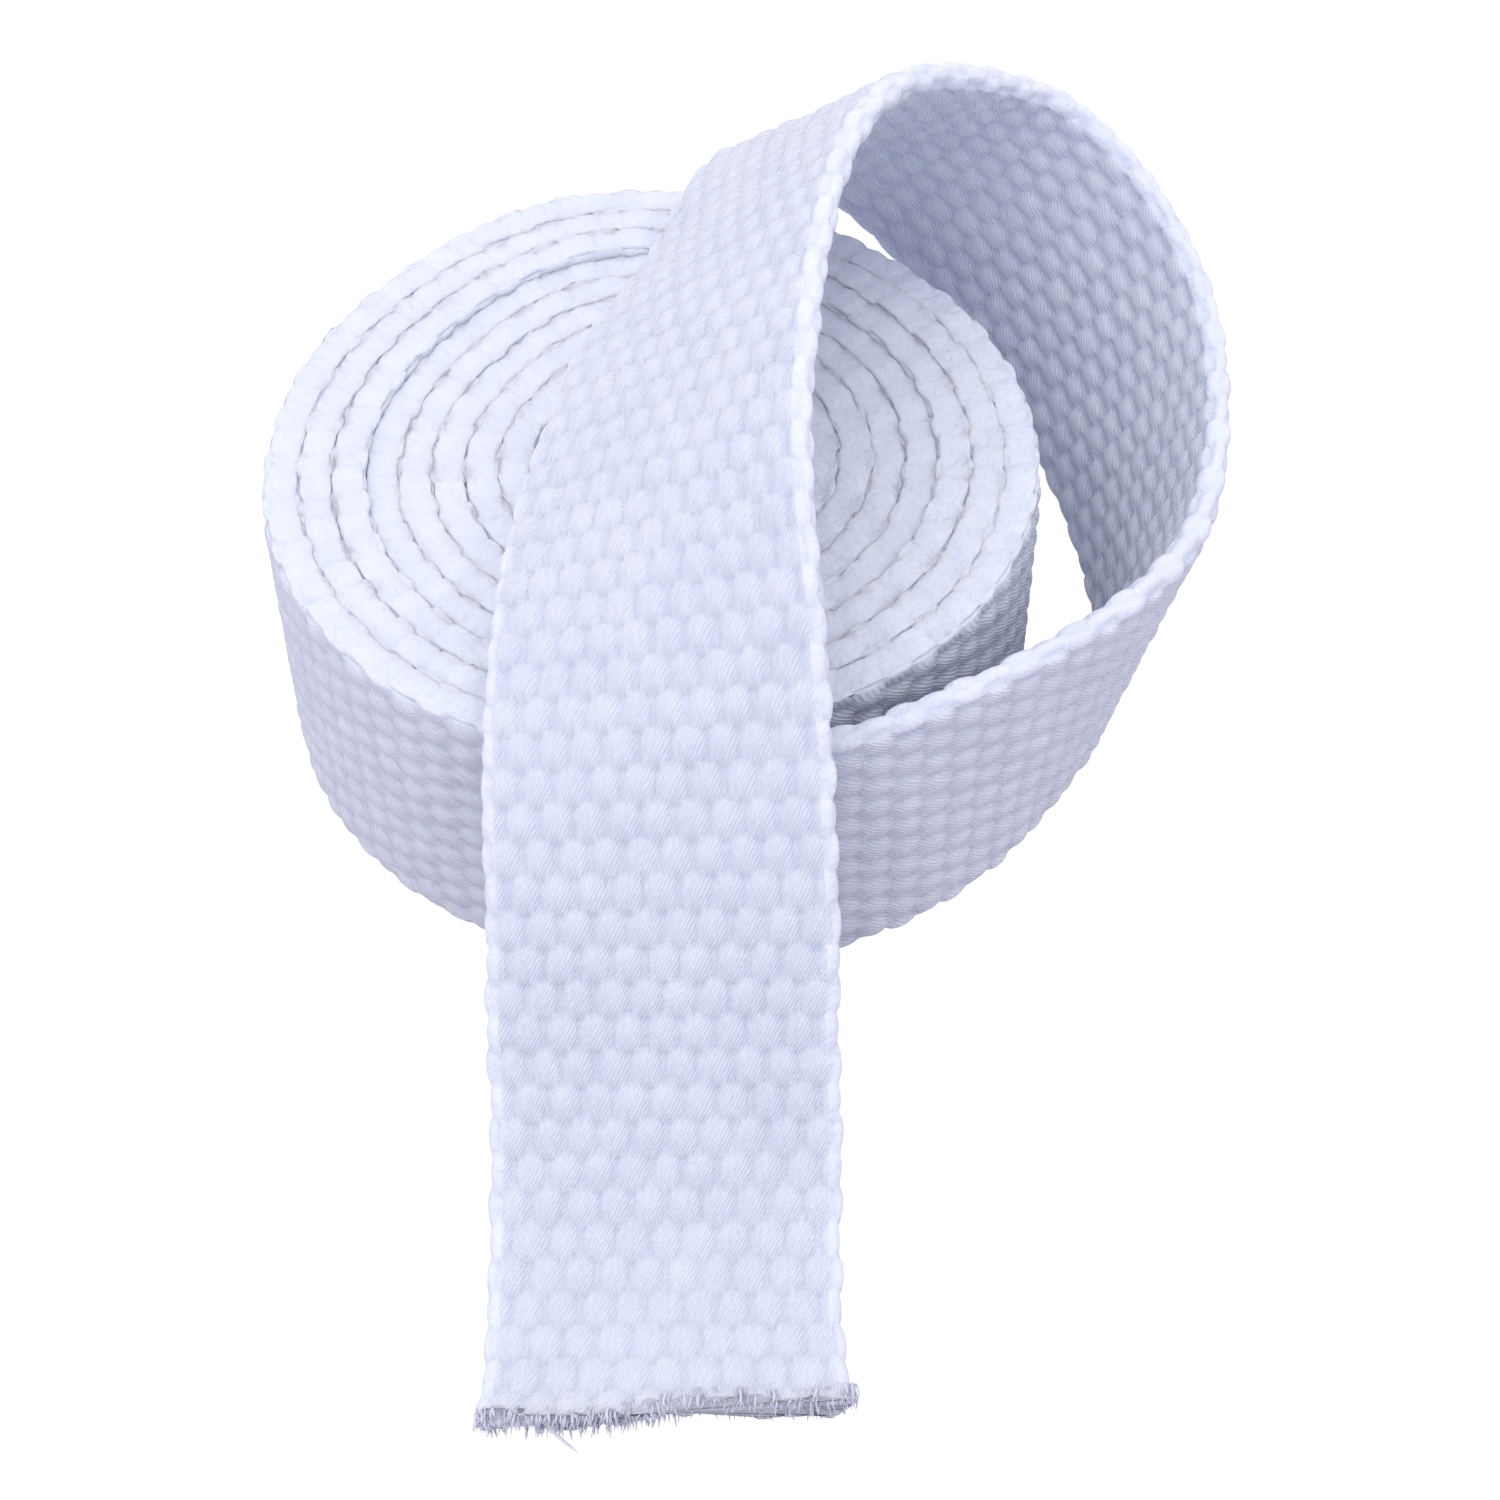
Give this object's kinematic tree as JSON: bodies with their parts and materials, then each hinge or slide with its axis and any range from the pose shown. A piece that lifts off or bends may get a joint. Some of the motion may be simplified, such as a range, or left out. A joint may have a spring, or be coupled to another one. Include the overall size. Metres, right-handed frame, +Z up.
{
  "type": "roll of webbing",
  "caption": "Roll of plain cotton webbing lying flat, its loose end arched over the top and ramped down to the surface in front.",
  "frame": {"origin": "on the surface that the roll lies on, under the middle of the wound drum", "axes": "+Z up along the winding's axis, -Y towards the cut end on the surface in front, +X to the right"},
  "size_m": [0.0768, 0.1071, 0.0496],
  "materials": {
    "cotton": "matt white cotton, coarse warp-faced plain weave"
  },
  "bodies": {
    "root": {"wound_drum": "cotton", "loose_end": "cotton"}
  },
  "joints": []
}
